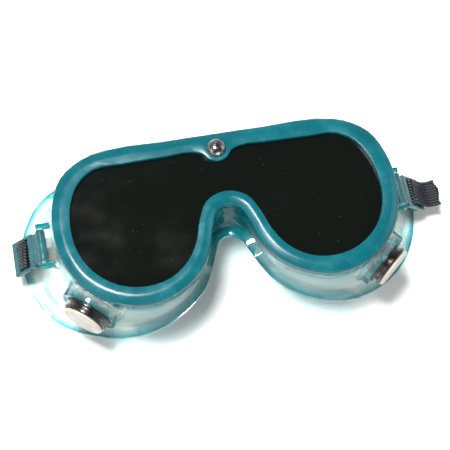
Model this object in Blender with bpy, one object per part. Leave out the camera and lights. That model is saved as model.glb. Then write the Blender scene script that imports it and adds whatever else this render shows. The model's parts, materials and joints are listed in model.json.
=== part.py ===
"""Welding goggles with one wide filter window, lying face up on a table.

Metres, +Z up. The front rim faces +Z, the forehead side is +Y and the nose side is -Y.
The wearer's face goes in from below. Run with: blender --background --python part.py
"""
import math

import bpy
import bmesh
from mathutils import Matrix, Vector

MM = 0.001
GAP = 0.3 * MM                      # clearance between pieces that touch

# Where the middle of the goggles sits, so that the whole object is centred on the origin.
CENTRE_SHIFT = Vector((-4.27 * MM, -1.25 * MM, 0.0))

# Half outlines in millimetres, from the top centre round one side to the top of the nose arch.
# The three of them have matching stations, so a wall can be drawn from one to the next.
# The window dips round the press stud, which leaves a tab of the rim under it.
RIM_HALF = [
    (0, 38), (3.5, 38), (7, 38), (12, 38), (24, 37.9), (46, 38), (60, 35), (70.2, 27.5), (75.2, 16),
    (76.6, 5), (74.8, -9), (69, -21.5), (56, -32.2), (41, -36.1), (27.5, -32.4), (16.4, -24.2),
    (10.9, -14.5), (8.2, -5.8), (5.2, 0.8), (0, 3),
]
WINDOW_HALF = [
    (0, 24.1), (3.9, 25.3), (6.6, 28.5), (11, 30.1), (22, 30), (42, 29.6), (55.5, 28.9), (62.8, 23.4),
    (67.3, 14.6), (68.9, 4), (67.2, -8.8), (62, -18.2), (52.2, -25.8), (41, -28.3), (30.4, -26.3),
    (22, -20.2), (16.6, -11.6), (13.7, -2.8), (8.8, 6), (0, 9.2),
]
FLANGE_HALF = [
    (0, 43.7), (3.5, 43.7), (7, 43.7), (12, 43.7), (27, 43.7), (51, 43.7), (69, 42), (82.5, 35.3), (90.8, 22),
    (93.8, 6), (91, -10), (83, -23.2), (67, -35.6), (47, -42), (29.5, -38.8), (16.8, -29.8),
    (10.6, -19.8), (7.6, -12.8), (4.8, -7.2), (0, -4.6),
]
SPANS_EACH = 3                      # curve points drawn from one station to the next

# Heights through the front rim.
FRONT_Z = 45 * MM                   # top face of the bezel
BEZEL_HEIGHT = 5 * MM
BEZEL_WALL = 2 * MM
LIP_THICK = 2.2 * MM
LENS_THICK = 2 * MM
COLLAR_WALL = 1.4 * MM
LEDGE_THICK = 2.2 * MM
LEDGE_SETBACK = 0.6 * MM            # ledge edge, outside the window edge
BEZEL_EDGE = 1.2 * MM               # rounding of the bezel's outer top edge
BEZEL_CROWN = 0.7 * MM              # the face falls this much from its crest to the rounding
BEZEL_CREST = 0.5                   # where the crest lies, as a share of the way in to the window
WINDOW_EDGE = 0.4 * MM              # rounding of the window's edge

LIP_UNDER_Z = FRONT_Z - LIP_THICK
LENS_TOP_Z = LIP_UNDER_Z - GAP
LENS_UNDER_Z = LENS_TOP_Z - LENS_THICK
LEDGE_TOP_Z = LENS_UNDER_Z - GAP
LEDGE_UNDER_Z = LEDGE_TOP_Z - LEDGE_THICK
BEZEL_UNDER_Z = FRONT_Z - BEZEL_HEIGHT
SHOULDER_Z = BEZEL_UNDER_Z - GAP

# Skirt: a flared wall that ends in a turned-out flange shaped to the face.
WALL = 2 * MM
FLANGE_WIDTH = 4 * MM
FLANGE_THICK = 2 * MM
TEMPLE_X = 82 * MM                  # outside this the flange lies flat on the table
CHEEK_RISE = 26 * MM                # height of the flange under the nose
BROW_RISE = 11 * MM                 # height of the flange at the forehead
STRAP_ARCH_RISE = 2.0 * MM          # the soft flange rides up over the strap
STRAP_ARCH_Y = 10.6 * MM            # middle of the arch
STRAP_ARCH_MARGIN = 3 * MM          # level stretch beyond each edge of the strap
STRAP_ARCH_RAMP = 6 * MM
WALL_LEVELS = (0.0, 0.12, 0.28, 0.34, 0.56, 0.78, 1.0)
TEMPLE_FLARE = 2.2                  # above 1 the wall starts upright and turns out lower down
CHEEK_FLARE = 4                     # upright for longer, where the cheek vents sit
FLARE_CHANGE_Y = (-4 * MM, -18 * MM)    # from the temple's flare to the cheek's
NOSE_STEP = 1.2 * MM                # step in the wall round the nose
NOSE_STEP_LEVEL = 0.3
NOSE_STEP_REACH = 16 * MM

# Press stud at the top centre.
STUD_Y = 30 * MM
STUD_HOLE_RADIUS = 1.5 * MM
STUD_SHANK_RADIUS = 1.2 * MM
STUD_NOTCH_RADIUS = 4.2 * MM
STUD_CAP_RADIUS = 4.3 * MM
STUD_CAP_UNDER_RADIUS = 4 * MM
STUD_CAP_RISE = 2.6 * MM
STUD_SOCKET_RADIUS = 3.3 * MM
STUD_PLATE = 0.4 * MM
STUD_DOME_DEGREES = (8, 30, 52, 72)

# Indirect vents: two in the brow wall, two in the cheek walls.
VENT_BOSS_RADIUS = 13.2 * MM
VENT_BOSS_DEPTH = 3 * MM            # thickness of the boss between the vent's two flanges
VENT_BOSS_REACH = 6 * MM            # the boss's rim runs this far in, to meet the curved wall
VENT_SEAT_RADIUS = 12 * MM          # flat seat sunk in the boss's outer face
VENT_SEAT_SINK = 0.4 * MM
VENT_BORE_RADIUS = 8.2 * MM
VENT_TUBE_OUTER = VENT_BORE_RADIUS - GAP
VENT_TUBE_INNER = 6.6 * MM
VENT_RIM_RADIUS = 10.8 * MM
VENT_WAIST_RADIUS = 8.9 * MM
VENT_TOP_RIM_RADIUS = 10.2 * MM
VENT_LIP_RADIUS = 11.8 * MM         # inner flange, sunk in the back of the boss
VENT_LIP_THICK = 1.3 * MM
VENT_SPOOL_HEIGHT = 4.2 * MM
VENT_CAP_RADIUS = 9.5 * MM
VENT_CAP_THICK = 1.5 * MM
VENT_CAP_EDGE = 0.6 * MM            # chamfer round the cap
VENT_BAFFLE_THICK = 1.2 * MM
VENT_BAFFLE_DEPTH = 1 * MM          # how far the baffle sits inside the tube's inner end
BROW_VENT_X = 49.2 * MM
BROW_VENT_FACE = 38.5 * MM          # seats of the brow vents
BROW_VENT_Z = 21.5 * MM
CHEEK_VENT_TURN = math.radians(39.4)    # away from straight down, towards the temple
CHEEK_VENT_FACE = 64.6 * MM
CHEEK_VENT_SIDE = 33.4 * MM         # along the wall, from the middle of the goggles
CHEEK_VENT_Z = 25.5 * MM
ROUND_SIDES = 24

# Strap clips: each hooks on a hinge bar between two ears of the skirt.
CLIP_Y = 5.5 * MM
HINGE_X = 83 * MM
HINGE_Z = 22.8 * MM
HINGE_BAR_RADIUS = 1.0 * MM
HINGE_SIDES = 16
CLIP_SLOPE = math.radians(45)
CLIP_HALF_WIDTH = 8 * MM
CLIP_RAIL = 1.2 * MM
CLIP_THICK = 2 * MM
CLIP_BARS = ((5.3 * MM, 8.1 * MM), (10.9 * MM, 12.9 * MM), (15.7 * MM, 18.7 * MM))
CLIP_NECK_START = 1.5 * MM
CLIP_NECK_HALF_WIDTH = 7.2 * MM
HOOK_OUTER_RADIUS = 2.2 * MM
EAR_INNER_X = 78.3 * MM
EAR_OUTER_X = 84.6 * MM
EAR_HEIGHT = 3.2 * MM
EAR_THICK = 1.8 * MM
EAR_GAP = 0.5 * MM

# Elastic head strap, folded away under the goggles.
STRAP_WIDTH = 13 * MM
STRAP_THICK = 1.2 * MM
STRAP_FLOOR_GAP = 0.15 * MM
STRAP_FLAT_Z = STRAP_FLOOR_GAP + STRAP_THICK / 2
STRAP_BEND = 1.0 * MM               # centre-line radius round the clip's bars
STRAP_DRIFT = 7 * MM                # off the clips the strap settles this far towards the brow
STRAP_SETTLE = 12 * MM              # length over which most of the drift happens
STRAP_STEP = 10 * MM                # longest straight piece of the strap's line
ARC_STEP = math.radians(26)         # turn between the points of its bends
FOLD_LENGTH = 36 * MM               # the slack lies in three layers
FOLD_RADIUS = 1.6 * MM
FOLD_END_X = 50 * MM
FOLD_SLOPE = math.radians(20)       # the strap climbs to the top layer
FOLD_SLOPE_RADIUS = 8 * MM
HAIRPIN_X = 95 * MM                 # the strap turns back just outside the flange
HAIRPIN_TOP_RADIUS = 2 * MM
HAIRPIN_FOOT_RADIUS = 1.3 * MM
TAIL_RADIUS = 5 * MM
TAIL_LIFT = math.radians(75)
TAIL_REACH = 1.8 * MM


# ---------------------------------------------------------------- helpers

def clear_scene():
    for obj in list(bpy.data.objects):
        bpy.data.objects.remove(obj, do_unlink=True)


def material(name, colour, roughness, metallic=0.0, transmission=0.0):
    mat = bpy.data.materials.new(name)
    mat.use_nodes = True
    shader = mat.node_tree.nodes["Principled BSDF"]
    shader.inputs["Base Color"].default_value = (*colour, 1.0)
    shader.inputs["Roughness"].default_value = roughness
    shader.inputs["Metallic"].default_value = metallic
    shader.inputs["Transmission Weight"].default_value = transmission
    return mat


def add_object(name, mesh_builder, mat, parent, location=(0, 0, 0)):
    """Turns a filled bmesh into an object; the mesh is in the object's own axes."""
    bmesh.ops.recalc_face_normals(mesh_builder, faces=mesh_builder.faces)
    mesh = bpy.data.meshes.new(name)
    mesh_builder.to_mesh(mesh)
    mesh_builder.free()
    if mat is not None:
        mesh.materials.append(mat)
    obj = bpy.data.objects.new(name, mesh)
    bpy.context.scene.collection.objects.link(obj)
    obj.parent = parent
    obj.location = location
    return obj


def shade_round(obj, angle=40):
    """Smooth shading that keeps edges sharper than the angle crisp."""
    for polygon in obj.data.polygons:
        polygon.use_smooth = True
    obj.data.set_sharp_from_angle(angle=math.radians(angle))


def add_helper(name, mesh_builder, parent):
    """A hidden solid that a Boolean modifier adds or cuts with."""
    obj = add_object(name, mesh_builder, None, parent)
    obj.hide_render = True
    obj.display_type = 'WIRE'
    return obj


def add_boolean(obj, helper, operation):
    modifier = obj.modifiers.new(helper.name, 'BOOLEAN')
    modifier.operation = operation
    modifier.object = helper
    modifier.solver = 'EXACT'


def closed_outline(half):
    """A smooth closed curve through a half outline and its mirror image."""
    mirrored = [(-x, y) for x, y in reversed(half[1:-1])]
    stations = [Vector((x * MM, y * MM)) for x, y in half + mirrored]
    count = len(stations)
    chords = [(stations[(i + 1) % count] - stations[i]).length for i in range(count)]
    tangents = []
    for i in range(count):
        before = (stations[i] - stations[i - 1]) / chords[i - 1]
        after = (stations[(i + 1) % count] - stations[i]) / chords[i]
        tangents.append((before * chords[i] + after * chords[i - 1]) / (chords[i - 1] + chords[i]))
    points = []
    for i in range(count):
        start, end = stations[i], stations[(i + 1) % count]
        for step in range(SPANS_EACH):
            t = step / SPANS_EACH
            points.append(
                start * (2 * t**3 - 3 * t**2 + 1)
                + end * (3 * t**2 - 2 * t**3)
                + tangents[i] * chords[i] * (t**3 - 2 * t**2 + t)
                + tangents[(i + 1) % count] * chords[i] * (t**3 - t**2)
            )
    return points


def inset(outline, distance):
    """Moves a clockwise outline inwards; a negative distance moves it outwards."""
    count = len(outline)
    moved = []
    for i in range(count):
        along = (outline[(i + 1) % count] - outline[i - 1]).normalized()
        moved.append(outline[i] + Vector((along.y, -along.x)) * distance)
    return moved


def flat_ring(outline, z):
    return [Vector((p.x, p.y, z)) for p in outline]


def loft(rings, is_tube):
    """Skins rings of equal count; a tube joins its last ring to its first, else both ends are capped."""
    bm = bmesh.new()
    loops = [[bm.verts.new(point) for point in ring] for ring in rings]
    count = len(rings[0])
    last = len(loops) if is_tube else len(loops) - 1
    for k in range(last):
        lower, upper = loops[k], loops[(k + 1) % len(loops)]
        for i in range(count):
            j = (i + 1) % count
            bm.faces.new((lower[i], lower[j], upper[j], upper[i]))
    if not is_tube:
        bm.faces.new(loops[0])
        bm.faces.new(loops[-1])
    return bm


def add_turned(bm, profile, place, sides):
    """Adds a round solid: (height, radius) points from the foot of the axis to its top."""
    rings = []
    for height, radius in profile:
        if radius == 0.0:
            rings.append([bm.verts.new(place @ Vector((0, 0, height)))])
            continue
        ring = []
        for i in range(sides):
            angle = 2 * math.pi * i / sides
            spoke = Vector((radius * math.cos(angle), radius * math.sin(angle), height))
            ring.append(bm.verts.new(place @ spoke))
        rings.append(ring)
    closes_on_axis = len(rings[0]) == 1
    last = len(rings) - 1 if closes_on_axis else len(rings)
    for k in range(last):
        a, b = rings[k], rings[(k + 1) % len(rings)]
        for i in range(sides):
            j = (i + 1) % sides
            if len(a) == 1:
                bm.faces.new((a[0], b[j], b[i]))
            elif len(b) == 1:
                bm.faces.new((a[i], a[j], b[0]))
            else:
                bm.faces.new((a[i], a[j], b[j], b[i]))


def add_drum(bm, place, radius, bottom, top, sides):
    add_turned(bm, [(bottom, 0.0), (bottom, radius), (top, radius), (top, 0.0)], place, sides)


def add_block(bm, low, high, place=Matrix()):
    centre = (Vector(low) + Vector(high)) / 2
    size = Vector(high) - Vector(low)
    stretched = Matrix.Translation(centre) @ Matrix.Diagonal((*size, 1))
    bmesh.ops.create_cube(bm, size=1.0, matrix=place @ stretched)


def facing(point, direction):
    """A place whose own Z axis points along the direction."""
    return Matrix.Translation(point) @ Vector(direction).to_track_quat('Z', 'Y').to_matrix().to_4x4()


def trace(start, heading, moves):
    """Walks a flat path. A move is ("go", length) or ("turn", radius, angle); positive angles turn left."""
    points = [Vector(start)]
    for move in moves:
        if move[0] == "go":
            steps = max(1, math.ceil(move[1] / STRAP_STEP))
            stride = Vector((math.cos(heading), math.sin(heading))) * move[1] / steps
            points += [points[-1] + stride * k for k in range(1, steps + 1)]
            continue
        radius, angle = move[1], move[2]
        side = math.copysign(1.0, angle)
        centre = points[-1] + Vector((-math.sin(heading), math.cos(heading))) * radius * side
        steps = max(3, round(abs(angle) / ARC_STEP))
        for k in range(1, steps + 1):
            now = heading + angle * k / steps
            points.append(centre + Vector((math.sin(now), -math.cos(now))) * radius * side)
        heading += angle
    return points


def ribbon(path, middles, to_world):
    """A flat strap as one closed solid: its centre line follows a path, with its middle at the given Ys."""
    bm = bmesh.new()
    sections = []
    for i, point in enumerate(path):
        ahead = path[min(i + 1, len(path) - 1)]
        behind = path[max(i - 1, 0)]
        along = (ahead - behind).normalized()
        out = Vector((-along.y, along.x)) * STRAP_THICK / 2
        corners = []
        for offset, side in ((out, -1), (out, 1), (-out, 1), (-out, -1)):
            flat = to_world(point + offset)
            corners.append(bm.verts.new((flat.x, middles[i] + side * STRAP_WIDTH / 2, flat.y)))
        sections.append(corners)
    for first, second in zip(sections, sections[1:]):
        for i in range(4):
            j = (i + 1) % 4
            bm.faces.new((first[i], first[j], second[j], second[i]))
    bm.faces.new(sections[0])
    bm.faces.new(sections[-1])
    return bm


# ---------------------------------------------------------------- skirt

def smooth_step(value):
    t = min(max(value, 0.0), 1.0)
    return t * t * (3 - 2 * t)


def flange_height(point):
    """Height of the flange's underside: flat at the temples, arched over cheeks, nose and brow."""
    brow = smooth_step(point.y / (20 * MM) + 0.5)
    rise = CHEEK_RISE + (BROW_RISE - CHEEK_RISE) * brow
    height = rise * max(0.0, 1 - (point.x / TEMPLE_X)**2)
    if abs(point.x) < TEMPLE_X:
        return height
    beside_strap = abs(point.y - STRAP_ARCH_Y) - STRAP_WIDTH / 2 - STRAP_ARCH_MARGIN
    return STRAP_ARCH_RISE * (1 - smooth_step(beside_strap / STRAP_ARCH_RAMP))


def flare_power(point):
    start, end = FLARE_CHANGE_Y
    return TEMPLE_FLARE + (CHEEK_FLARE - TEMPLE_FLARE) * smooth_step((point.y - start) / (end - start))


def nose_nearness(point):
    """1 in the nose arch, fading to 0 on the lobes and the brow."""
    aside = smooth_step(2 - abs(point.x) / (NOSE_STEP_REACH / 2))
    below = smooth_step(1.5 - point.y / (10 * MM))
    return aside * below


def wall_ring(rim, foot, heights, level, depth):
    """One ring of the flared wall: level 0 is at the shoulder, 1 on the flange."""
    outline = inset([a.lerp(b, level**flare_power(b)) for a, b in zip(rim, foot)], depth)
    if depth == 0.0 and 0.0 < level < NOSE_STEP_LEVEL:
        stepped = inset(outline, NOSE_STEP)
        outline = [a.lerp(b, nose_nearness(a)) for a, b in zip(outline, stepped)]
    return [
        Vector((p.x, p.y, SHOULDER_Z + (h + FLANGE_THICK - SHOULDER_Z) * level))
        for p, h in zip(outline, heights)
    ]


def skirt_mesh(rim, window, flange):
    foot = inset(flange, FLANGE_WIDTH)
    heights = [flange_height(p) for p in flange]
    outer = [wall_ring(rim, foot, heights, level, 0.0) for level in WALL_LEVELS]
    inner = [wall_ring(rim, foot, heights, level, WALL) for level in WALL_LEVELS[-2:0:-1]]
    ledge_edge = inset(window, -LEDGE_SETBACK)
    collar_outer = BEZEL_WALL + GAP
    collar_inner = collar_outer + COLLAR_WALL
    flange_top = [Vector((p.x, p.y, h + FLANGE_THICK)) for p, h in zip(flange, heights)]
    flange_under = [Vector((p.x, p.y, h)) for p, h in zip(flange, heights)]
    foot_under = [Vector((p.x, p.y, h)) for p, h in zip(inset(foot, WALL), heights)]
    rings = [flat_ring(inset(rim, collar_outer), LENS_TOP_Z), flat_ring(inset(rim, collar_outer), SHOULDER_Z)]
    rings += outer
    rings += [flange_top, flange_under, foot_under]
    rings += inner
    rings += [
        flat_ring(inset(rim, WALL), LEDGE_UNDER_Z),
        flat_ring(ledge_edge, LEDGE_UNDER_Z),
        flat_ring(ledge_edge, LEDGE_TOP_Z),
        flat_ring(inset(rim, collar_inner), LEDGE_TOP_Z),
        flat_ring(inset(rim, collar_inner), LENS_TOP_Z),
    ]
    return loft(rings, is_tube=True)


def vent_places():
    """Name and place of each vent; the place's Z axis points outwards from the boss's outer face."""
    places = []
    for side, word in ((-1, "left"), (1, "right")):
        places.append(("brow_" + word, facing((side * BROW_VENT_X, BROW_VENT_FACE, BROW_VENT_Z), (0, 1, 0))))
        out = Vector((side * math.sin(CHEEK_VENT_TURN), -math.cos(CHEEK_VENT_TURN), 0))
        across = Vector((-side * out.y, side * out.x, 0)) * CHEEK_VENT_SIDE
        middle = out * CHEEK_VENT_FACE + across + Vector((0, 0, CHEEK_VENT_Z))
        places.append(("cheek_" + word, facing(middle, out)))
    return places


def stud_place(z):
    return Matrix.Translation((0, STUD_Y, z))


def build_skirt(parent, rim, window, flange, mat):
    skirt = add_object("body_skirt", skirt_mesh(rim, window, flange), mat, parent)

    ears = bmesh.new()
    bars = bmesh.new()
    ear_y = CLIP_HALF_WIDTH + EAR_GAP
    ear_under, ear_top = HINGE_Z - EAR_HEIGHT / 2, HINGE_Z + EAR_HEIGHT / 2
    for side in (-1, 1):
        xs = sorted((side * EAR_INNER_X, side * EAR_OUTER_X))
        for end in (-1, 1):
            ys = sorted((CLIP_Y + end * ear_y, CLIP_Y + end * (ear_y + EAR_THICK)))
            add_block(ears, (xs[0], ys[0], ear_under), (xs[1], ys[1], ear_top))
        along = facing((side * HINGE_X, CLIP_Y, HINGE_Z), (0, 1, 0))
        reach = ear_y + EAR_THICK / 2
        add_drum(bars, along, HINGE_BAR_RADIUS, -reach, reach, HINGE_SIDES)
    bosses = bmesh.new()
    bores = bmesh.new()
    for _, place in vent_places():
        add_drum(bosses, place, VENT_BOSS_RADIUS, -VENT_BOSS_REACH, VENT_SEAT_SINK, ROUND_SIDES)
        behind = -2 * VENT_BOSS_REACH
        recess = VENT_LIP_RADIUS + GAP
        add_turned(bores, [
            (behind, 0.0), (behind, recess), (-VENT_BOSS_DEPTH, recess), (-VENT_BOSS_DEPTH, VENT_BORE_RADIUS),
            (0.0, VENT_BORE_RADIUS), (0.0, VENT_SEAT_RADIUS), (VENT_BOSS_REACH, VENT_SEAT_RADIUS),
            (VENT_BOSS_REACH, 0.0),
        ], place, ROUND_SIDES)
    add_drum(bores, stud_place(0), STUD_HOLE_RADIUS, LEDGE_UNDER_Z - WALL, LEDGE_TOP_Z + WALL, HINGE_SIDES)

    add_boolean(skirt, add_helper("skirt_ears", ears, parent), 'UNION')
    add_boolean(skirt, add_helper("skirt_hinge_bars", bars, parent), 'UNION')
    add_boolean(skirt, add_helper("skirt_bosses", bosses, parent), 'UNION')
    add_boolean(skirt, add_helper("skirt_bores", bores, parent), 'DIFFERENCE')
    shade_round(skirt)


# ---------------------------------------------------------------- front rim

def build_bezel(parent, rim, window, mat):
    """The push-on front ring; its own origin is at the middle of the front face."""
    shoulder_z = FRONT_Z - BEZEL_CROWN
    crest = [a.lerp(b, BEZEL_CREST) for a, b in zip(rim, window)]
    rings = [
        flat_ring(rim, BEZEL_UNDER_Z),
        flat_ring(rim, shoulder_z - BEZEL_EDGE),
        flat_ring(inset(rim, 0.3 * BEZEL_EDGE), shoulder_z - 0.3 * BEZEL_EDGE),
        flat_ring(inset(rim, BEZEL_EDGE), shoulder_z),
        flat_ring(crest, FRONT_Z),
        flat_ring(inset(window, -WINDOW_EDGE), FRONT_Z - WINDOW_EDGE / 2),
        flat_ring(window, FRONT_Z - 1.5 * WINDOW_EDGE),
        flat_ring(window, LIP_UNDER_Z),
        flat_ring(inset(rim, BEZEL_WALL), LIP_UNDER_Z),
        flat_ring(inset(rim, BEZEL_WALL), BEZEL_UNDER_Z),
    ]
    lowered = [[point - Vector((0, 0, FRONT_Z)) for point in ring] for ring in rings]
    bezel = add_object("front_bezel", loft(lowered, is_tube=True), mat, parent, (0, 0, FRONT_Z))
    hole = bmesh.new()
    add_drum(hole, stud_place(0), STUD_HOLE_RADIUS, LIP_UNDER_Z - WALL, FRONT_Z + WALL, HINGE_SIDES)
    add_boolean(bezel, add_helper("bezel_hole", hole, parent), 'DIFFERENCE')
    shade_round(bezel)
    return bezel


def build_lens(parent, rim, mat):
    edge = inset(rim, BEZEL_WALL + COLLAR_WALL + 2 * GAP)
    plate = loft([flat_ring(edge, LENS_UNDER_Z), flat_ring(edge, LENS_TOP_Z)], is_tube=False)
    lens = add_object("filter_lens", plate, mat, parent)
    radius = STUD_NOTCH_RADIUS
    turns = [math.pi + math.pi * k / HINGE_SIDES for k in range(HINGE_SIDES + 1)]
    notch = [Vector((radius * math.cos(turn), STUD_Y + radius * math.sin(turn))) for turn in turns]
    mouth_y = STUD_Y + 2 * radius
    notch += [Vector((radius, mouth_y)), Vector((-radius, mouth_y))]
    cutter = loft([flat_ring(notch, LENS_UNDER_Z - WALL), flat_ring(notch, LENS_TOP_Z + WALL)], is_tube=False)
    add_boolean(lens, add_helper("lens_notch", cutter, parent), 'DIFFERENCE')


def build_press_stud(parent, bezel, mat):
    """Cap and socket stay with the bezel; ball and eyelet stay with the skirt."""
    cap = bmesh.new()
    seat = GAP
    dome_angles = [math.radians(degrees) for degrees in STUD_DOME_DEGREES]
    dome = [(seat + STUD_CAP_RISE * math.sin(a), STUD_CAP_RADIUS * math.cos(a)) for a in dome_angles]
    foot = LENS_TOP_Z - STUD_PLATE / 2 - FRONT_Z
    add_turned(cap, [(foot, 0.0), (foot, STUD_SHANK_RADIUS), (seat, STUD_SHANK_RADIUS),
                     (seat, STUD_CAP_UNDER_RADIUS)] + dome + [(seat + STUD_CAP_RISE, 0.0)],
               Matrix(), ROUND_SIDES)
    shade_round(add_object("stud_cap", cap, mat, bezel, (0, STUD_Y, 0)))

    socket = bmesh.new()
    socket_under = LEDGE_TOP_Z + STUD_PLATE + 2 * GAP
    ball_radius = STUD_SHANK_RADIUS + GAP
    bore = ball_radius + GAP
    add_turned(socket, [(socket_under, bore), (socket_under, STUD_SOCKET_RADIUS),
                        (LENS_TOP_Z, STUD_SOCKET_RADIUS), (LENS_TOP_Z, bore)],
               stud_place(-FRONT_Z), ROUND_SIDES)
    shade_round(add_object("stud_socket", socket, mat, bezel))

    ball = bmesh.new()
    plate_under = LEDGE_TOP_Z + GAP
    plate_top = plate_under + STUD_PLATE
    ball_top = foot + FRONT_Z - GAP
    add_turned(ball, [(plate_under, 0.0), (plate_under, STUD_SOCKET_RADIUS), (plate_top, STUD_SOCKET_RADIUS),
                      (plate_top, STUD_SHANK_RADIUS), ((plate_top + ball_top) / 2, ball_radius),
                      (ball_top, STUD_SHANK_RADIUS), (ball_top, 0.0)],
               stud_place(0), ROUND_SIDES)
    shade_round(add_object("stud_ball", ball, mat, parent))

    eyelet = bmesh.new()
    flange_top = LEDGE_UNDER_Z - GAP
    add_turned(eyelet, [(flange_top - STUD_PLATE, 0.0), (flange_top - STUD_PLATE, STUD_SOCKET_RADIUS),
                        (flange_top, STUD_SOCKET_RADIUS), (flange_top, STUD_SHANK_RADIUS),
                        (LEDGE_TOP_Z, STUD_SHANK_RADIUS), (LEDGE_TOP_Z, 0.0)],
               stud_place(0), ROUND_SIDES)
    shade_round(add_object("stud_eyelet", eyelet, mat, parent))


# ---------------------------------------------------------------- vents

def build_vent(parent, word, place, spool_mat, cap_mat):
    lip_foot = -(VENT_BOSS_DEPTH + GAP)
    inner_end = lip_foot - VENT_LIP_THICK
    rim_top = VENT_LIP_THICK
    waist_top = VENT_SPOOL_HEIGHT - VENT_LIP_THICK
    spool = bmesh.new()
    add_turned(spool, [
        (inner_end, VENT_TUBE_INNER), (inner_end, VENT_LIP_RADIUS), (lip_foot, VENT_LIP_RADIUS),
        (lip_foot, VENT_TUBE_OUTER), (GAP, VENT_TUBE_OUTER), (GAP, VENT_RIM_RADIUS),
        (rim_top, VENT_RIM_RADIUS), (rim_top, VENT_WAIST_RADIUS), (waist_top, VENT_WAIST_RADIUS),
        (waist_top, VENT_TOP_RIM_RADIUS), (VENT_SPOOL_HEIGHT, VENT_TOP_RIM_RADIUS),
        (VENT_SPOOL_HEIGHT, VENT_TUBE_INNER),
    ], place, ROUND_SIDES)
    shade_round(add_object("vent_base_" + word, spool, spool_mat, parent))

    cap = bmesh.new()
    cap_under = VENT_SPOOL_HEIGHT + GAP
    cap_top = cap_under + VENT_CAP_THICK
    plug_radius = VENT_TUBE_INNER - GAP
    add_turned(cap, [
        (rim_top, 0.0), (rim_top, plug_radius), (cap_under, plug_radius), (cap_under, VENT_CAP_RADIUS),
        (cap_top - VENT_CAP_EDGE, VENT_CAP_RADIUS), (cap_top, VENT_CAP_RADIUS - VENT_CAP_EDGE),
        (cap_top, 0.0),
    ], place, ROUND_SIDES)
    shade_round(add_object("vent_cap_" + word, cap, cap_mat, parent))

    baffle = bmesh.new()
    baffle_radius = VENT_TUBE_INNER - GAP
    baffle_under = inner_end + VENT_BAFFLE_DEPTH
    add_drum(baffle, place, baffle_radius, baffle_under, baffle_under + VENT_BAFFLE_THICK, ROUND_SIDES)
    shade_round(add_object("vent_baffle_" + word, baffle, spool_mat, parent))


# ---------------------------------------------------------------- strap clips and strap

def clip_axes(side):
    """The clip's own directions in the XZ plane: outwards along it, and up off its face."""
    outwards = Vector((side * math.cos(CLIP_SLOPE), -math.sin(CLIP_SLOPE)))
    off_face = Vector((side * math.sin(CLIP_SLOPE), math.cos(CLIP_SLOPE)))
    return outwards, off_face


def clip_place(side):
    """Turns (along, across, off the face) into the axes of the goggles, about the hinge."""
    outwards, off_face = clip_axes(side)
    return Matrix((
        (outwards.x, 0, off_face.x, 0),
        (0, 1, 0, 0),
        (outwards.y, 0, off_face.y, 0),
        (0, 0, 0, 1),
    ))


def clip_plate(place):
    """The flat buckle: three bars between two rails, drawn as cells of a grid with two slots left out."""
    alongs = [edge for bar in CLIP_BARS for edge in bar]
    acrosses = [-CLIP_HALF_WIDTH, -CLIP_HALF_WIDTH + CLIP_RAIL, CLIP_HALF_WIDTH - CLIP_RAIL, CLIP_HALF_WIDTH]
    heights = (-CLIP_THICK / 2, CLIP_THICK / 2)
    bm = bmesh.new()
    grid = [[[bm.verts.new(place @ Vector((u, v, w))) for w in heights] for v in acrosses] for u in alongs]
    last_u, last_v = len(alongs) - 2, len(acrosses) - 2

    def is_slot(u, v):
        return v == 1 and u in (1, 3)

    for u in range(last_u + 1):
        for v in range(last_v + 1):
            if is_slot(u, v):
                continue
            a, b, c, d = grid[u][v], grid[u + 1][v], grid[u + 1][v + 1], grid[u][v + 1]
            bm.faces.new((a[0], d[0], c[0], b[0]))
            bm.faces.new((a[1], b[1], c[1], d[1]))
            sides = (
                (a, b, v == 0 or is_slot(u, v - 1)), (b, c, u == last_u or is_slot(u + 1, v)),
                (c, d, v == last_v or is_slot(u, v + 1)), (d, a, u == 0 or is_slot(u - 1, v)),
            )
            for start, end, is_open in sides:
                if is_open:
                    bm.faces.new((start[0], end[0], end[1], start[1]))
    return bm


def build_clip(parent, side, word, mat):
    place = clip_place(side)
    hinge = Vector((side * HINGE_X, CLIP_Y, HINGE_Z))
    clip = add_object("strap_clip_" + word, clip_plate(place), mat, parent, hinge)
    shift = Matrix.Translation(hinge)

    neck = bmesh.new()
    neck_end = sum(CLIP_BARS[0]) / 2
    neck_top = CLIP_THICK / 2 - GAP
    add_block(neck, (CLIP_NECK_START, -CLIP_NECK_HALF_WIDTH, -neck_top),
              (neck_end, CLIP_NECK_HALF_WIDTH, neck_top), shift @ place)
    hook = bmesh.new()
    across = shift @ facing((0, 0, 0), (0, 1, 0))
    inner = HINGE_BAR_RADIUS + GAP
    add_turned(hook, [(-CLIP_NECK_HALF_WIDTH, inner), (-CLIP_NECK_HALF_WIDTH, HOOK_OUTER_RADIUS),
                      (CLIP_NECK_HALF_WIDTH, HOOK_OUTER_RADIUS), (CLIP_NECK_HALF_WIDTH, inner)],
               across, HINGE_SIDES)
    add_boolean(clip, add_helper("clip_neck_" + word, neck, parent), 'UNION')
    add_boolean(clip, add_helper("clip_hook_" + word, hook, parent), 'UNION')
    shade_round(clip)
    return clip


def strap_end_moves():
    """The strap's way through a clip, from under the outer bar up to the top of the middle bar."""
    clear = CLIP_THICK / 2 + GAP + STRAP_THICK / 2
    second_layer = clear + STRAP_THICK + GAP
    slot_u = CLIP_BARS[1][0] - GAP - STRAP_THICK / 2
    bend = STRAP_BEND
    start = Vector((CLIP_BARS[2][1], -second_layer))
    moves = [
        ("go", start.x - slot_u - bend),
        ("turn", bend, -math.pi / 2),
        ("go", second_layer + clear - 2 * bend),
        ("turn", bend, -math.pi / 2),
    ]
    return start, slot_u, clear, moves


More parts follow.
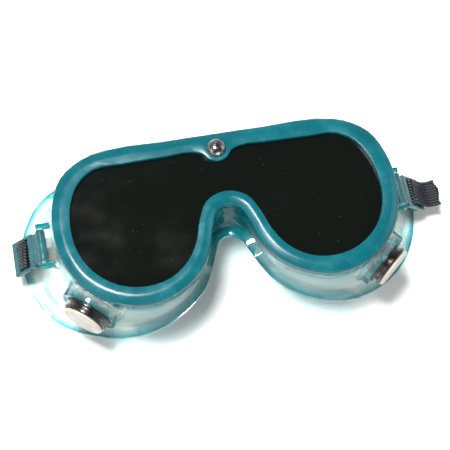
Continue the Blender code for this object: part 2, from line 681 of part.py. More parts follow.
def strap_wrap_path(side_word):
    start, slot_u, clear, moves = strap_end_moves()
    bend = STRAP_BEND
    outer_slot_u = CLIP_BARS[1][1] + GAP + STRAP_THICK / 2
    if side_word == "left":
        moves += [
            ("go", outer_slot_u - slot_u - 2 * bend),
            ("turn", bend, -math.pi / 2),
            ("go", 2 * clear - 2 * bend),
            ("turn", bend, math.pi / 2),
            ("go", CLIP_BARS[2][1] - outer_slot_u - 2 * bend),
        ]
    else:
        moves += [
            ("go", CLIP_BARS[2][1] - slot_u - bend),
            ("turn", TAIL_RADIUS, TAIL_LIFT),
            ("go", TAIL_REACH),
        ]
    return trace(start, math.pi, moves)


def split_point(side):
    """Where the strap leaves the clip's own length of it, in the XZ plane of the goggles."""
    start, _, _, _ = strap_end_moves()
    outwards, off_face = clip_axes(side)
    return Vector((side * HINGE_X, HINGE_Z)) + outwards * start.x + off_face * start.y


def hairpin_moves(start):
    """Off the clip, down outside the flange, and back in along the table."""
    upright = math.pi / 2
    slant = (HAIRPIN_X - start.x - HAIRPIN_TOP_RADIUS * (1 - math.sin(CLIP_SLOPE))) / math.cos(CLIP_SLOPE)
    fall = (start.y - slant * math.sin(CLIP_SLOPE) - HAIRPIN_TOP_RADIUS * math.cos(CLIP_SLOPE)
            - HAIRPIN_FOOT_RADIUS - STRAP_FLAT_Z)
    return [
        ("go", slant),
        ("turn", HAIRPIN_TOP_RADIUS, upright - CLIP_SLOPE),
        ("go", fall),
        ("turn", HAIRPIN_FOOT_RADIUS, upright),
    ]


def strap_band_path(left_end, right_end):
    """From one clip to the other under the goggles, with the slack folded into three layers on the way."""
    hairpin = hairpin_moves(right_end)
    rise = 4 * FOLD_RADIUS
    climb = (rise - 2 * FOLD_SLOPE_RADIUS * (1 - math.cos(FOLD_SLOPE))) / math.sin(FOLD_SLOPE)
    climb_width = climb * math.cos(FOLD_SLOPE) + 2 * FOLD_SLOPE_RADIUS * math.sin(FOLD_SLOPE)
    floor_x = HAIRPIN_X - HAIRPIN_FOOT_RADIUS
    fold_start = FOLD_END_X - FOLD_LENGTH
    moves = hairpin + [
        ("go", floor_x + fold_start - climb_width),
        ("turn", FOLD_SLOPE_RADIUS, FOLD_SLOPE),
        ("go", climb),
        ("turn", FOLD_SLOPE_RADIUS, -FOLD_SLOPE),
        ("go", FOLD_LENGTH),
        ("turn", FOLD_RADIUS, -math.pi),
        ("go", FOLD_LENGTH),
        ("turn", FOLD_RADIUS, math.pi),
        ("go", floor_x - fold_start),
    ] + hairpin[::-1]
    return trace(left_end, math.pi + CLIP_SLOPE, moves)


def settled_middles(path):
    """Y of the strap's middle along its line: level with the clips there, nearer the brow between."""
    runs = [0.0]
    for before, after in zip(path, path[1:]):
        runs.append(runs[-1] + (after - before).length)
    return [CLIP_Y + STRAP_DRIFT * (1 - math.exp(-min(run, runs[-1] - run) / STRAP_SETTLE)) for run in runs]


def build_strap(parent, clips, mat):
    ends = []
    for side, word in ((-1, "left"), (1, "right")):
        outwards, off_face = clip_axes(side)
        wrap = strap_wrap_path(word)
        bm = ribbon(wrap, [0.0] * len(wrap), lambda p: outwards * p.x + off_face * p.y)
        shade_round(add_object("strap_end_" + word, bm, mat, clips[word]))
        ends.append(split_point(side) + outwards * GAP)
    path = strap_band_path(*ends)
    shade_round(add_object("strap_band", ribbon(path, settled_middles(path), lambda p: p), mat, parent))


# ---------------------------------------------------------------- assembly

def build_goggles():
    clear_scene()
    pvc = material("clear_green_pvc", (0.62, 0.78, 0.73), 0.12, transmission=0.85)
    teal = material("teal_bezel", (0.02, 0.2, 0.25), 0.35)
    filter_dark = material("filter_dark", (0.008, 0.012, 0.008), 0.05)
    nickel = material("stud_nickel", (0.55, 0.55, 0.57), 0.15, metallic=1.0)
    vent_dark = material("vent_dark", (0.02, 0.012, 0.008), 0.15)
    vent_cream = material("vent_cream", (0.82, 0.78, 0.68), 0.45)
    clip_teal = material("clip_teal", (0.03, 0.22, 0.28), 0.2)
    elastic = material("elastic_black", (0.015, 0.016, 0.014), 0.6)

    root = bpy.data.objects.new("goggles", None)
    bpy.context.scene.collection.objects.link(root)
    root.location = CENTRE_SHIFT

    rim = closed_outline(RIM_HALF)
    window = closed_outline(WINDOW_HALF)
    flange = closed_outline(FLANGE_HALF)
    build_skirt(root, rim, window, flange, pvc)
    bezel = build_bezel(root, rim, window, teal)
    build_lens(root, rim, filter_dark)
    build_press_stud(root, bezel, nickel)
    for word, place in vent_places():
        build_vent(root, word, place, vent_dark, vent_cream)
    clips = {}
    for side, word in ((-1, "left"), (1, "right")):
        clips[word] = build_clip(root, side, word, clip_teal)
    build_strap(root, clips, elastic)


build_goggles()
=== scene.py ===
"""Looks of the welding goggles: smooth surfaces, materials, the ribbed strap, light and camera."""
import json
import math

import bmesh
import bpy
from mathutils import Matrix, Vector


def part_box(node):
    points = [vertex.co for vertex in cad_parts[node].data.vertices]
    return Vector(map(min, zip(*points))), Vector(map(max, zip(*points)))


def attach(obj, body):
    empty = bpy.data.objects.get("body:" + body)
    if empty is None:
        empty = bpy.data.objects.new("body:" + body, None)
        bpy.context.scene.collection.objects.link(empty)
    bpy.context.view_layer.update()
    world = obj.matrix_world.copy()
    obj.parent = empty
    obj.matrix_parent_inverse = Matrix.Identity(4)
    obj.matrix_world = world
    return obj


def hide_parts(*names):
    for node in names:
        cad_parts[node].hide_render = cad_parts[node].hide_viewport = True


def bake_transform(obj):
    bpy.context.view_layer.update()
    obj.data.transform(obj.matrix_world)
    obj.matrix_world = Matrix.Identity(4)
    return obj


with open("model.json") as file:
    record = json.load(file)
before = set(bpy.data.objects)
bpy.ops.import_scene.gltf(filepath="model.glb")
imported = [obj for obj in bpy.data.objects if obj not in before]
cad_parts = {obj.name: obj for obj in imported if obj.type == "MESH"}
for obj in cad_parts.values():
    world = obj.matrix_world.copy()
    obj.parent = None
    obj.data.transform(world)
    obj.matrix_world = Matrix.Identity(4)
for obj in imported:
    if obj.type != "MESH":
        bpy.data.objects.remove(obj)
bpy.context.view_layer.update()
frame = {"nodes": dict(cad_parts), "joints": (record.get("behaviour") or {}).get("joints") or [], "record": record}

MM = 0.001

# Camera: above the goggles, a little to the nose side.
CAMERA_AIM = Vector((-3.3 * MM, -8 * MM, 0))    # from the middle of the front rim's face
CAMERA_DISTANCE = 0.456
CAMERA_AZIMUTH = math.radians(-19.73)
CAMERA_ELEVATION = math.radians(68)
CAMERA_ROLL = math.radians(9.19)
CAMERA_LENS = 84.4                  # millimetres, as is the sensor
CAMERA_SENSOR = 36

# The strap's line, in the XZ plane; it repeats the CAD's strap.
CLIP_SLOPE = math.radians(45)
CLIP_THICK = 2 * MM
MIDDLE_BAR = (10.9 * MM, 12.9 * MM)
OUTER_BAR_END = 18.7 * MM
CLEARANCE = 0.3 * MM
STRAP_WIDTH = 13 * MM
STRAP_THICK = 1.2 * MM
STRAP_FLAT_Z = 0.75 * MM
STRAP_BEND = 1 * MM
STRAP_DRIFT = 7 * MM                # how far the strap lies towards the brow under the goggles
STRAP_SETTLE = 12 * MM              # and the length over which it gets there
FOLD_LENGTH = 36 * MM
FOLD_RADIUS = 1.6 * MM
FOLD_END_X = 50 * MM
FOLD_SLOPE = math.radians(20)
FOLD_SLOPE_RADIUS = 8 * MM
HAIRPIN_X = 95 * MM
HAIRPIN_TOP_RADIUS = 2 * MM
HAIRPIN_FOOT_RADIUS = 1.3 * MM
TAIL_RADIUS = 5 * MM
TAIL_LIFT = math.radians(75)
TAIL_REACH = 1.8 * MM

# Smooth copies.
WELD_DISTANCE = 0.001 * MM
FLAT_ANGLE = math.radians(0.5)      # faces this close to level are one face
CREASE_ANGLE = math.radians(32)     # edges sharper than this are rounded
SHARP_ANGLE = math.radians(42)      # edges sharper than this are shaded as edges

# Where painted deep teal stands in for light piped through the vinyl: at its moulded edges and round the thick
# nose.
GLOW_ANGLE = math.radians(75)
NOSE_HALF_WIDTH = 15 * MM
NOSE_REACH = (18 * MM, 0)           # the tint fades in towards the nose between these Ys

# The front rim's crest.
CREST_BAND = 0.05 * MM
CREST_ROUNDING = 0.8 * MM
STUD_SURROUND = 6 * MM              # left as it is round the press stud

# The strap's weave.
RIB_COUNT = 9
RIB_POINTS = 6
RIB_DEPTH = 0.32 * MM
STRAP_STEP = 1 * MM
ARC_STEP = math.radians(9)
TAIL_SAW = 0.7 * MM                 # how far the cut threads stand out at the tail
TAIL_SAW_STEP = 5.3                 # radians of their wave from rib to rib
THREAD_SLANT = 1.4                  # millimetres along the strap that a thread runs in one rib
THREAD_PITCH = 1.5                  # millimetres from thread to thread

# The room: white at the sides, dim overhead.
ROOM_STRENGTH = 0.72
ROOM_STOPS = ((0.2, (1, 1, 1, 1)), (0.85, (0.1, 0.11, 0.1, 1)))
FLOOR_HALF_WIDTH = 4
FLOOR_DROP = 0.02 * MM


# ---------------------------------------------------------------- materials

class Shader:
    """A new material with short ways to add nodes to it."""

    def __init__(self, name):
        self.material = bpy.data.materials.new(name)
        self.material.use_nodes = True
        self.nodes = self.material.node_tree.nodes
        self.links = self.material.node_tree.links
        self.surface = self.nodes["Principled BSDF"]
        self.output = self.nodes["Material Output"]

    def set(self, **values):
        """Plain values for the surface's inputs, named with _ for a space."""
        for key, value in values.items():
            self.surface.inputs[key.replace("_", " ")].default_value = value

    def add(self, kind, **settings):
        """A new node with its own settings."""
        node = self.nodes.new(kind)
        for key, value in settings.items():
            setattr(node, key, value)
        return node

    def feed(self, source, target):
        self.links.new(source, target)

    def drive(self, name, source):
        """Feeds the surface's input of that name."""
        self.links.new(source, self.surface.inputs[name])

    def noise(self, scale, detail, roughness=0.5):
        """Noise in the object's own space; scale is in features per metre."""
        place = self.add("ShaderNodeTexCoord")
        noise = self.add("ShaderNodeTexNoise")
        noise.inputs["Scale"].default_value = scale
        noise.inputs["Detail"].default_value = detail
        noise.inputs["Roughness"].default_value = roughness
        self.feed(place.outputs["Object"], noise.inputs["Vector"])
        return noise.outputs["Fac"]

    def ramp(self, value, stops):
        """Colours or greys along a value, given as (position, colour) stops."""
        ramp = self.add("ShaderNodeValToRGB")
        elements = ramp.color_ramp.elements
        while len(elements) < len(stops):
            elements.new(0.5)
        for element, (position, colour) in zip(elements, stops):
            element.position = position
            element.color = (*colour, 1)
        self.feed(value, ramp.inputs["Fac"])
        return ramp.outputs["Color"]

    def mix(self, mode, factor, first, second):
        """Two colours mixed; each argument is a socket or a plain value."""
        node = self.add("ShaderNodeMix", data_type='RGBA', blend_type=mode)
        sockets = {socket.identifier: socket for socket in node.inputs}
        for key, value in (("Factor_Float", factor), ("A_Color", first), ("B_Color", second)):
            if isinstance(value, bpy.types.NodeSocket):
                self.feed(value, sockets[key])
            else:
                sockets[key].default_value = value
        return next(socket for socket in node.outputs if socket.identifier == "Result_Color")

    def let_lamps_through(self):
        """Light reaches what lies behind the surface; the tint comes from the volume."""
        rays = self.add("ShaderNodeLightPath")
        clear = self.add("ShaderNodeBsdfTransparent")
        choose = self.add("ShaderNodeMixShader")
        self.feed(rays.outputs["Is Shadow Ray"], choose.inputs["Fac"])
        self.feed(self.surface.outputs["BSDF"], choose.inputs[1])
        self.feed(clear.outputs["BSDF"], choose.inputs[2])
        self.feed(choose.outputs["Shader"], self.output.inputs["Surface"])

    def spread(self, value, low, high):
        """Noise, most of which lies between 0.3 and 0.7, spread from low to high."""
        spread = self.add("ShaderNodeMapRange")
        spread.inputs["From Min"].default_value = 0.3
        spread.inputs["From Max"].default_value = 0.7
        spread.inputs["To Min"].default_value = low
        spread.inputs["To Max"].default_value = high
        self.feed(value, spread.inputs["Value"])
        return spread.outputs["Result"]

    def bump(self, height, distance, under=None):
        """Relief on the surface, on top of the relief that was made before it."""
        bump = self.add("ShaderNodeBump")
        bump.inputs["Distance"].default_value = distance
        bump.inputs["Strength"].default_value = 1
        self.feed(height, bump.inputs["Height"])
        if under is not None:
            self.feed(under, bump.inputs["Normal"])
        self.drive("Normal", bump.outputs["Normal"])
        return bump.outputs["Normal"]


def grey(value):
    return (value, value, value)


def clear_pvc():
    """Soft clear vinyl with a blue-green tint that deepens with thickness, and painted deep teal where light is
    piped along its moulded edges and through the thick nose.
    """
    shader = Shader("clear_pvc")
    shader.set(IOR=1.45, Transmission_Weight=0.8)
    clear = shader.ramp(shader.noise(40, 4), [(0.3, (0.93, 0.96, 0.94)), (0.7, (0.99, 0.99, 0.97))])
    # painted light: deep teal standing in for light piped along the edges and through the thick nose
    glow_teal = shader.ramp(shader.noise(150, 3), [(0.3, (0.0, 0.24, 0.29)), (0.7, (0.03, 0.36, 0.4))])
    glow = shader.add("ShaderNodeAttribute", attribute_name="painted_glow")
    shader.drive("Base Color", shader.mix('MIX', glow.outputs["Fac"], clear, glow_teal))
    shader.drive("Roughness", shader.spread(shader.noise(90, 3), 0.05, 0.14))
    waves = shader.bump(shader.noise(30, 2), 0.06 * MM)
    shader.bump(shader.noise(900, 2), 0.004 * MM, under=waves)
    volume = shader.add("ShaderNodeVolumeAbsorption")
    volume.inputs["Color"].default_value = (0.1, 0.6, 0.54, 1)
    volume.inputs["Density"].default_value = 90
    shader.feed(volume.outputs["Volume"], shader.output.inputs["Volume"])
    shader.let_lamps_through()
    return shader.material


def teal_rim():
    """Soft teal vinyl with handling marks and a slightly uneven gloss."""
    shader = Shader("teal_rim")
    shader.set(IOR=1.5, Specular_IOR_Level=0.28)
    base = shader.ramp(shader.noise(70, 5, 0.6), [
        (0.3, (0.001, 0.08, 0.1)),
        (0.55, (0.002, 0.1, 0.125)),
        (0.75, (0.01, 0.135, 0.165)),
    ])
    shader.drive("Base Color", base)
    shader.drive("Roughness", shader.spread(shader.noise(140, 5), 0.18, 0.32))
    waves = shader.bump(shader.noise(60, 2), 0.1 * MM)
    shader.bump(shader.noise(1600, 3), 0.015 * MM, under=waves)
    return shader.material


def dark_filter():
    """Polished welding filter with a few specks of dust and faint scuffs."""
    shader = Shader("dark_filter")
    shader.set(IOR=1.49)
    specks = shader.add("ShaderNodeTexVoronoi")
    place = shader.add("ShaderNodeTexCoord")
    specks.inputs["Scale"].default_value = 330
    shader.feed(place.outputs["Object"], specks.inputs["Vector"])
    dust = shader.ramp(specks.outputs["Distance"], [(0.0, grey(1)), (0.09, grey(0))])
    patches = shader.ramp(shader.noise(45, 4), [(0.42, grey(0)), (0.6, grey(1))])
    where = shader.mix('MULTIPLY', 1, dust, patches)
    base = shader.mix('MIX', where, (0.003, 0.0042, 0.003, 1), (0.1, 0.1, 0.09, 1))
    shader.drive("Base Color", base)
    shader.drive("Roughness", shader.spread(shader.noise(60, 5), 0.03, 0.13))
    shader.bump(shader.noise(25, 2), 0.12 * MM)
    return shader.material


def nickel():
    """Pressed nickel-plated brass with small dents."""
    shader = Shader("stud_nickel")
    shader.set(Metallic=1)
    plate = shader.ramp(shader.noise(500, 4), [(0.3, (0.12, 0.12, 0.13)), (0.7, (0.32, 0.32, 0.31))])
    shader.drive("Base Color", plate)
    shader.drive("Roughness", shader.spread(shader.noise(700, 3), 0.1, 0.3))
    dents = shader.bump(shader.noise(420, 1), 0.35 * MM)
    shader.bump(shader.noise(3000, 2), 0.02 * MM, under=dents)
    return shader.material


def vent_plastic():
    """Glossy brown-black moulding, with patches of painted golden reflection in its colour."""
    shader = Shader("vent_brown")
    shader.set(IOR=1.5, Coat_Weight=0.6, Coat_Roughness=0.06)
    base = shader.ramp(shader.noise(160, 4), [
        (0.35, (0.005, 0.004, 0.003)),
        (0.6, (0.014, 0.008, 0.004)),
        # painted reflection: golden patches standing in for reflected highlights
        (0.78, (0.09, 0.05, 0.018)),
    ])
    shader.drive("Base Color", base)
    shader.drive("Roughness", shader.spread(shader.noise(300, 3), 0.14, 0.34))
    shader.bump(shader.noise(260, 2), 0.12 * MM)
    return shader.material


def cream_plastic():
    """Cream moulding with a fine matt grain."""
    shader = Shader("vent_cream")
    shader.set(IOR=1.46)
    base = shader.ramp(shader.noise(120, 5), [(0.3, (0.4, 0.37, 0.31)), (0.7, (0.54, 0.51, 0.45))])
    shader.drive("Base Color", base)
    shader.drive("Roughness", shader.spread(shader.noise(200, 3), 0.32, 0.5))
    shader.bump(shader.noise(1200, 3), 0.02 * MM)
    return shader.material


def clip_plastic():
    """Glossy teal moulding."""
    shader = Shader("clip_teal")
    shader.set(IOR=1.5, Specular_IOR_Level=0.4, Coat_Weight=0.1, Coat_Roughness=0.1)
    base = shader.ramp(shader.noise(220, 4), [(0.3, (0.006, 0.065, 0.08)), (0.7, (0.02, 0.115, 0.13))])
    shader.drive("Base Color", base)
    shader.drive("Roughness", shader.spread(shader.noise(400, 3), 0.16, 0.34))
    shader.bump(shader.noise(350, 2), 0.08 * MM)
    return shader.material


def woven_elastic():
    """Black braid: cross threads wrap each lengthwise rib, with painted shade in the grooves between ribs and
    painted blue-white glints on the threads. UV runs in ribs across and millimetres along.
    """
    shader = Shader("woven_elastic")
    shader.set(IOR=1.5, Specular_IOR_Level=0.3)
    uv = shader.add("ShaderNodeUVMap")
    split = shader.add("ShaderNodeSeparateXYZ")
    shader.feed(uv.outputs["UV"], split.inputs["Vector"])
    rib = shader.add("ShaderNodeMath", operation='PINGPONG')
    rib.inputs[1].default_value = 0.5
    shader.feed(split.outputs["X"], rib.inputs[0])
    # painted shade: dark in the grooves between the ribs, full on their crests
    crest = shader.ramp(rib.outputs["Value"], [(0.15, grey(0.08)), (0.45, grey(1))])
    slant = shader.add("ShaderNodeMath", operation='MULTIPLY_ADD')
    slant.inputs[1].default_value = THREAD_SLANT
    shader.feed(split.outputs["X"], slant.inputs[0])
    shader.feed(split.outputs["Y"], slant.inputs[2])
    turns = shader.add("ShaderNodeMath", operation='MULTIPLY')
    turns.inputs[1].default_value = 2 * math.pi / THREAD_PITCH
    shader.feed(slant.outputs["Value"], turns.inputs[0])
    thread = shader.add("ShaderNodeMath", operation='SINE')
    shader.feed(turns.outputs["Value"], thread.inputs[0])
    shade = shader.add("ShaderNodeMapRange")
    shade.inputs["From Min"].default_value = -1
    shader.feed(thread.outputs["Value"], shade.inputs["Value"])
    # black yarn, with painted blue-white glints on the threads' rises
    black_yarn_and_painted_glints = shader.ramp(shade.outputs["Result"], [
        (0.0, grey(0.001)),
        (0.7, (0.004, 0.005, 0.005)),
        (1.0, (0.13, 0.18, 0.22)),
    ])
    shader.drive("Base Color", shader.mix('MULTIPLY', 1, black_yarn_and_painted_glints, crest))
    shader.drive("Roughness", shader.spread(shader.noise(900, 3), 0.25, 0.5))
    threads = shader.bump(shade.outputs["Result"], 0.14 * MM)
    shader.bump(shader.noise(5000, 2), 0.03 * MM, under=threads)
    return shader.material


def pale_floor():
    """Matt white table top."""
    shader = Shader("pale_floor")
    shader.set(IOR=1.4)
    shader.drive("Base Color", shader.ramp(shader.noise(3, 3), [(0.3, grey(0.86)), (0.7, grey(0.9))]))
    shader.drive("Roughness", shader.spread(shader.noise(5, 3), 0.5, 0.6))
    return shader.material


# ---------------------------------------------------------------- smooth copies of the CAD's pieces

def smooth_step(value):
    """Eases from 0 to 1 as the value does."""
    t = min(max(value, 0.0), 1.0)
    return t * t * (3 - 2 * t)


def paint_glow(bm):
    """Marks where painted deep teal stands in for light piped along the vinyl's moulded edges and through the
    thick nose, for its material.
    """
    low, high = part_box("front_bezel")
    middle = (low.x + high.x) / 2
    tint = bm.verts.layers.float.new("painted_glow")
    # painted light: the sharp moulded edges get the deep teal of piped light
    for edge in bm.edges:
        if edge.is_manifold and edge.is_convex and edge.calc_face_angle() > GLOW_ANGLE:
            for vert in edge.verts:
                vert[tint] = 1.0
    fade_start, fade_end = NOSE_REACH
    for vert in bm.verts:
        aside = smooth_step(2 - 2 * abs(vert.co.x - middle) / NOSE_HALF_WIDTH)
        below = smooth_step((vert.co.y - fade_start) / (fade_end - fade_start))
        vert[tint] = max(vert[tint], aside * below)


def soften_crest(bm):
    """Rounds the low ridge that runs along the front rim, and leaves its slopes flat."""
    top = max(vert.co.z for vert in bm.verts)
    low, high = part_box("stud_cap")
    stud = (low + high).xy / 2

    def is_crest(vert):
        return vert.co.z > top - CREST_BAND and (vert.co.xy - stud).length > STUD_SURROUND

    ridge = [edge for edge in bm.edges if all(is_crest(vert) for vert in edge.verts)]
    bmesh.ops.bevel(bm, geom=ridge, offset=CREST_ROUNDING, segments=3, profile=0.5, affect='EDGES')


def smooth_copy(node, body, material, edge):
    """The CAD node's shape with its edges rounded by edge and its curves shaded smooth."""
    source = frame["nodes"][node]
    bm = bmesh.new()
    bm.from_mesh(source.data)
    bmesh.ops.remove_doubles(bm, verts=bm.verts, dist=WELD_DISTANCE)
    bmesh.ops.dissolve_limit(bm, angle_limit=FLAT_ANGLE, verts=bm.verts, edges=bm.edges)
    if edge:
        creases = [e for e in bm.edges if e.is_manifold and e.calc_face_angle() > CREASE_ANGLE]
        bmesh.ops.bevel(bm, geom=creases, offset=edge, segments=2, profile=0.6, affect='EDGES',
                        clamp_overlap=True)
    if node == "front_bezel":
        soften_crest(bm)
    if node == "body_skirt":
        paint_glow(bm)
    mesh = bpy.data.meshes.new(node + "_smooth")
    bm.to_mesh(mesh)
    bm.free()
    for polygon in mesh.polygons:
        polygon.use_smooth = True
    mesh.set_sharp_from_angle(angle=SHARP_ANGLE)
    mesh.materials.append(material)
    piece = bpy.data.objects.new(node + "_smooth", mesh)
    bpy.context.scene.collection.objects.link(piece)
    shading = piece.modifiers.new("flat faces stay flat", 'WEIGHTED_NORMAL')
    shading.keep_sharp = True
    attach(piece, body)
    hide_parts(node)


def dress_hard_pieces():
    """A smooth copy of every CAD node but the strap's, in its material and with its edge rounding."""
    bodies = frame["record"]["behaviour"]["bodies"]
    slots = {part["node"]: part["material_slot"] for part in frame["record"]["subparts"]}
    dressings = {
        "clear_green_pvc": (clear_pvc(), 0),
        "teal_bezel": (teal_rim(), 0),
        "filter_dark": (dark_filter(), 0.15 * MM),
        "stud_nickel": (nickel(), 0.08 * MM),
        "vent_dark": (vent_plastic(), 0.2 * MM),
        "vent_cream": (cream_plastic(), 0.2 * MM),
        "clip_teal": (clip_plastic(), 0.3 * MM),
    }
    for body, nodes in bodies.items():
        for node in nodes:
            if slots[node] in dressings:
                material, edge = dressings[slots[node]]
                smooth_copy(node, body, material, edge)


# ---------------------------------------------------------------- strap

def trace(start, heading, moves):
    """Walks a flat path of ("go", length) and ("turn", radius, angle) moves; positive angles turn left."""
    points = [Vector(start)]
    for move in moves:
        if move[0] == "go":
            steps = max(1, math.ceil(move[1] / STRAP_STEP))
            stride = Vector((math.cos(heading), math.sin(heading))) * move[1] / steps
            points += [points[-1] + stride * k for k in range(1, steps + 1)]
            continue
        radius, angle = move[1], move[2]
        side = math.copysign(1.0, angle)
        centre = points[-1] + Vector((-math.sin(heading), math.cos(heading))) * radius * side
        steps = max(3, round(abs(angle) / ARC_STEP))
        for k in range(1, steps + 1):
            now = heading + angle * k / steps
            points.append(centre + Vector((math.sin(now), -math.cos(now))) * radius * side)
        heading += angle
    return points


def clip_axes(side):
    """Outwards along the clip, and up off its face."""
    outwards = Vector((side * math.cos(CLIP_SLOPE), -math.sin(CLIP_SLOPE)))
    off_face = Vector((side * math.sin(CLIP_SLOPE), math.cos(CLIP_SLOPE)))
    return outwards, off_face


def wrap_path(side, hinge):
    """The strap's line through a clip, from under the outer bar; on the right it ends in the free tail."""
    clear = CLIP_THICK / 2 + CLEARANCE + STRAP_THICK / 2
    second_layer = clear + STRAP_THICK + CLEARANCE
    slot_u = MIDDLE_BAR[0] - CLEARANCE - STRAP_THICK / 2
    outer_slot_u = MIDDLE_BAR[1] + CLEARANCE + STRAP_THICK / 2
    moves = [
        ("go", OUTER_BAR_END - slot_u - STRAP_BEND),
        ("turn", STRAP_BEND, -math.pi / 2),
        ("go", second_layer + clear - 2 * STRAP_BEND),
        ("turn", STRAP_BEND, -math.pi / 2),
    ]
    if side < 0:
        moves += [
            ("go", outer_slot_u - slot_u - 2 * STRAP_BEND),
            ("turn", STRAP_BEND, -math.pi / 2),
            ("go", 2 * clear - 2 * STRAP_BEND),
            ("turn", STRAP_BEND, math.pi / 2),
            ("go", OUTER_BAR_END - outer_slot_u - 2 * STRAP_BEND),
        ]
    else:
        moves += [
            ("go", OUTER_BAR_END - slot_u - STRAP_BEND),
            ("turn", TAIL_RADIUS, TAIL_LIFT),
            ("go", TAIL_REACH),
        ]
    outwards, off_face = clip_axes(side)
    flat = trace((OUTER_BAR_END, -second_layer), math.pi, moves)
    return [hinge + outwards * p.x + off_face * p.y for p in flat]


def hairpin_moves(start_x, start_z):
    """Off the clip, down outside the flange, and back in along the table."""
    slant = (HAIRPIN_X - start_x - HAIRPIN_TOP_RADIUS * (1 - math.sin(CLIP_SLOPE))) / math.cos(CLIP_SLOPE)
    fall = (start_z - slant * math.sin(CLIP_SLOPE) - HAIRPIN_TOP_RADIUS * math.cos(CLIP_SLOPE)
            - HAIRPIN_FOOT_RADIUS - STRAP_FLAT_Z)
    return [
        ("go", slant),
        ("turn", HAIRPIN_TOP_RADIUS, math.pi / 2 - CLIP_SLOPE),
        ("go", fall),
        ("turn", HAIRPIN_FOOT_RADIUS, math.pi / 2),
    ]


def band_path(left_end):
    """Under the goggles from the left clip to the right one, with the slack folded into three layers."""
    hairpin = hairpin_moves(-left_end.x, left_end.y)
    rise = 4 * FOLD_RADIUS
    climb = (rise - 2 * FOLD_SLOPE_RADIUS * (1 - math.cos(FOLD_SLOPE))) / math.sin(FOLD_SLOPE)
    climb_width = climb * math.cos(FOLD_SLOPE) + 2 * FOLD_SLOPE_RADIUS * math.sin(FOLD_SLOPE)
    floor_x = HAIRPIN_X - HAIRPIN_FOOT_RADIUS
    fold_start = FOLD_END_X - FOLD_LENGTH
    return trace(left_end, math.pi + CLIP_SLOPE, hairpin + [
        ("go", floor_x + fold_start - climb_width),
        ("turn", FOLD_SLOPE_RADIUS, FOLD_SLOPE),
        ("go", climb),
        ("turn", FOLD_SLOPE_RADIUS, -FOLD_SLOPE),
        ("go", FOLD_LENGTH),
        ("turn", FOLD_RADIUS, -math.pi),
        ("go", FOLD_LENGTH),
        ("turn", FOLD_RADIUS, math.pi),
        ("go", floor_x - fold_start),
    ] + hairpin[::-1])


def run_lengths(path):
    """How far along the path each of its points is."""
    runs = [0.0]
    for before, after in zip(path, path[1:]):
        runs.append(runs[-1] + (after - before).length)
    return runs


def drifts(path):
    """How far the strap has moved towards the brow at each point of its line."""
    runs = run_lengths(path)
    return [STRAP_DRIFT * (1 - math.exp(-min(run, runs[-1] - run) / STRAP_SETTLE)) for run in runs]


def rib_profile():
    """(across, height, rib number) points round the strap's section, upper face first."""
    steps = RIB_COUNT * RIB_POINTS
    face = []
    for k in range(steps + 1):
        rib = k / RIB_POINTS
        height = STRAP_THICK / 2 - RIB_DEPTH * (1 - abs(math.sin(math.pi * rib)))
        face.append((STRAP_WIDTH * (k / steps - 0.5), height, rib))
    under = [(across, -height, rib) for across, height, rib in reversed(face)]
    return face + under


def strap_rings(bm, profile, path, middles, has_tail):
    """The strap's section at each point of its path; the cut tail's ribs end unevenly."""
    rings = []
    for i, point in enumerate(path):
        ahead = path[min(i + 1, len(path) - 1)]
        behind = path[max(i - 1, 0)]
        along = (ahead - behind).normalized()
        out = Vector((-along.y, along.x))
        is_cut = has_tail and i == len(path) - 1
        ring = []
        for across, height, rib in profile:
            reach = TAIL_SAW * math.sin(TAIL_SAW_STEP * math.floor(rib)) if is_cut else 0.0
            flat = point + out * height + along * reach
            ring.append(bm.verts.new((flat.x, middles[i] + across, flat.y)))
        rings.append(ring)
    return rings


def skin_rings(bm, profile, rings, runs):
    """Faces from ring to ring, with UVs for the weave, and one face over each end."""
    uv_layer = bm.loops.layers.uv.new("weave")
    count = len(profile)
    for i in range(len(rings) - 1):
        for j in range(count):
            k = (j + 1) % count
            face = bm.faces.new((rings[i][j], rings[i][k], rings[i + 1][k], rings[i + 1][j]))
            face.smooth = True
            corners = ((j, i), (k, i), (k, i + 1), (j, i + 1))
            for loop, (rib_index, run_index) in zip(face.loops, corners):
                loop[uv_layer].uv = (profile[rib_index][2], runs[run_index] / MM)
    bm.faces.new(rings[0])
    bm.faces.new(rings[-1])
    bmesh.ops.recalc_face_normals(bm, faces=bm.faces)


def woven_strap(name, path, middles, material, has_tail):
    """A ribbed band along the path, with its middle line at those Ys."""
    profile = rib_profile()
    bm = bmesh.new()
    rings = strap_rings(bm, profile, path, middles, has_tail)
    skin_rings(bm, profile, rings, run_lengths(path))
    mesh = bpy.data.meshes.new(name)
    bm.to_mesh(mesh)
    bm.free()
    mesh.materials.append(material)
    piece = bpy.data.objects.new(name, mesh)
    bpy.context.scene.collection.objects.link(piece)
    return piece


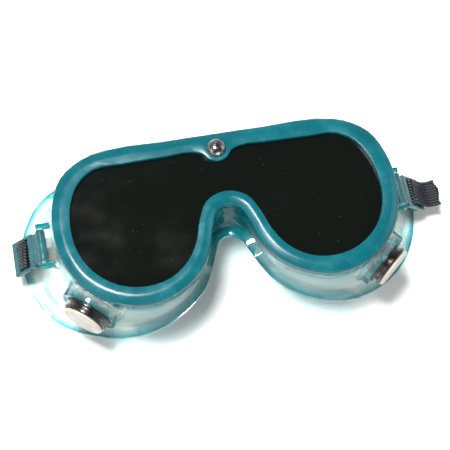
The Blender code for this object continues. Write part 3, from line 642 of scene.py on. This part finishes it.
def dress_strap():
    """One strap in two pieces that meet under the goggles."""
    hinges = {joint["child"]: Vector(joint["pos_m"]) for joint in frame["joints"] if joint["type"] == "hinge"}
    left, right = hinges["left_clip"], hinges["right_clip"]
    middle_x = (left.x + right.x) / 2
    clip_y = left.y
    outwards = clip_axes(-1)[0]
    left_wrap = wrap_path(-1, Vector((left.x, left.z)))
    right_wrap = wrap_path(1, Vector((right.x, right.z)))
    local_start = left_wrap[0] - Vector((middle_x, 0)) + outwards * CLEARANCE
    band = [p + Vector((middle_x, 0)) for p in band_path(local_start)]
    band_drifts = drifts(band)
    material = woven_elastic()

    parting = next(i for i, p in enumerate(band) if p.x > middle_x)
    left_path = left_wrap[::-1] + band[:parting + 1]
    left_y = [clip_y] * len(left_wrap) + [clip_y + d for d in band_drifts[:parting + 1]]
    right_path = band[parting:] + right_wrap
    right_y = [clip_y + d for d in band_drifts[parting:]] + [clip_y] * len(right_wrap)
    for side, body, path, ys, nodes in (
            (-1, "left_clip", left_path, left_y, ("strap_end_left", "strap_band")),
            (1, "right_clip", right_path, right_y, ("strap_end_right", "strap_band"))):
        piece = woven_strap("woven_strap_" + body.split("_")[0], path, ys, material, side > 0)
        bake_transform(piece)
        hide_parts(*nodes)


# ---------------------------------------------------------------- light and camera

def add_light(name, place, aim, size, power):
    """A white rectangular lamp at place, turned to aim."""
    data = bpy.data.lights.new(name, 'AREA')
    data.shape = 'RECTANGLE'
    data.size, data.size_y = size
    data.energy = power
    light = bpy.data.objects.new(name, data)
    bpy.context.scene.collection.objects.link(light)
    light.location = place
    light.rotation_euler = (Vector(aim) - Vector(place)).to_track_quat('-Z', 'Y').to_euler()


def light_scene():
    """The room, a lamp above and three low panels."""
    world = bpy.data.worlds.new("studio")
    bpy.context.scene.world = world
    world.use_nodes = True
    nodes, links = world.node_tree.nodes, world.node_tree.links
    place = nodes.new("ShaderNodeTexCoord")
    split = nodes.new("ShaderNodeSeparateXYZ")
    ramp = nodes.new("ShaderNodeValToRGB")
    for element, (height, colour) in zip(ramp.color_ramp.elements, ROOM_STOPS):
        element.position = height
        element.color = colour
    links.new(place.outputs["Generated"], split.inputs["Vector"])
    links.new(split.outputs["Z"], ramp.inputs["Fac"])
    links.new(ramp.outputs["Color"], nodes["Background"].inputs["Color"])
    nodes["Background"].inputs["Strength"].default_value = ROOM_STRENGTH
    add_light("overhead_softbox", place=(-0.2, 0.13, 0.96), aim=(0, 0, 0.03), size=(0.24, 0.24), power=15)
    add_light("left_panel", place=(-0.8, -0.25, 0.5), aim=(0, 0, 0), size=(0.6, 0.5), power=2)
    add_light("right_panel", place=(0.85, 0.1, 0.6), aim=(0, 0, 0), size=(0.5, 0.5), power=1.6)
    add_light("nose_side_panel", place=(0.1, -0.9, 0.45), aim=(0, 0, 0), size=(0.7, 0.3), power=2)


def add_floor():
    """The table, just under the goggles' feet."""
    bm = bmesh.new()
    bmesh.ops.create_grid(bm, x_segments=2, y_segments=2, size=FLOOR_HALF_WIDTH)
    mesh = bpy.data.meshes.new("floor")
    bm.to_mesh(mesh)
    bm.free()
    mesh.materials.append(pale_floor())
    floor = bpy.data.objects.new("floor", mesh)
    bpy.context.scene.collection.objects.link(floor)
    floor.location.z = -FLOOR_DROP


def add_camera():
    """Looks down at the front rim, with the picture's up turned by the roll."""
    low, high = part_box("front_bezel")
    aim = Vector(((low.x + high.x) / 2, (low.y + high.y) / 2, high.z)) + CAMERA_AIM
    back = Vector((
        math.sin(CAMERA_AZIMUTH) * math.cos(CAMERA_ELEVATION),
        -math.cos(CAMERA_AZIMUTH) * math.cos(CAMERA_ELEVATION),
        math.sin(CAMERA_ELEVATION),
    ))
    right = Vector((math.cos(CAMERA_AZIMUTH), math.sin(CAMERA_AZIMUTH), 0))
    up = back.cross(right)
    turned_right = right * math.cos(CAMERA_ROLL) + up * math.sin(CAMERA_ROLL)
    turned_up = up * math.cos(CAMERA_ROLL) - right * math.sin(CAMERA_ROLL)
    data = bpy.data.cameras.new("camera")
    data.lens = CAMERA_LENS
    data.sensor_width = CAMERA_SENSOR
    camera = bpy.data.objects.new("camera", data)
    bpy.context.scene.collection.objects.link(camera)
    turn = Matrix((turned_right, turned_up, back)).transposed().to_4x4()
    camera.matrix_world = Matrix.Translation(aim + back * CAMERA_DISTANCE) @ turn
    bpy.context.scene.camera = camera


dress_hard_pieces()
dress_strap()
add_floor()
light_scene()
add_camera()
bpy.context.scene.view_settings.view_transform = 'Standard'
